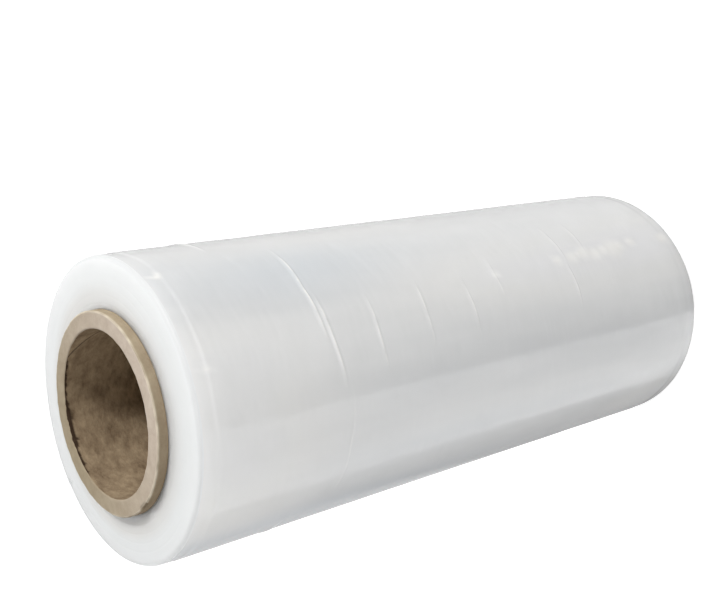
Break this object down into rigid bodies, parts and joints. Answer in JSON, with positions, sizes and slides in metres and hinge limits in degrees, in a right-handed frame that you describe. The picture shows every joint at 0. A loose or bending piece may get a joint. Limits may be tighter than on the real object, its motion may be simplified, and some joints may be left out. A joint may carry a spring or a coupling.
{
  "type": "stretch wrap roll",
  "caption": "Hand roll of clear stretch film wound tightly on a plain paperboard tube whose rims stand out of the film at both ends.",
  "frame": {"origin": "centre of the tube's lower rim, on the surface the roll stands on", "axes": "+Z along the roll's axis, upwards; -Y towards the side of the film that the picture shows"},
  "size_m": [0.1409, 0.1413, 0.36],
  "materials": {
    "paperboard": "unprinted grey-brown spirally wound paperboard, matt, with ragged cut rims",
    "stretch_film": "many turns of clear film that look milky white, glossy outside and satin on the end faces"
  },
  "bodies": {
    "root": {"core": "paperboard", "film": "stretch_film"}
  },
  "joints": []
}
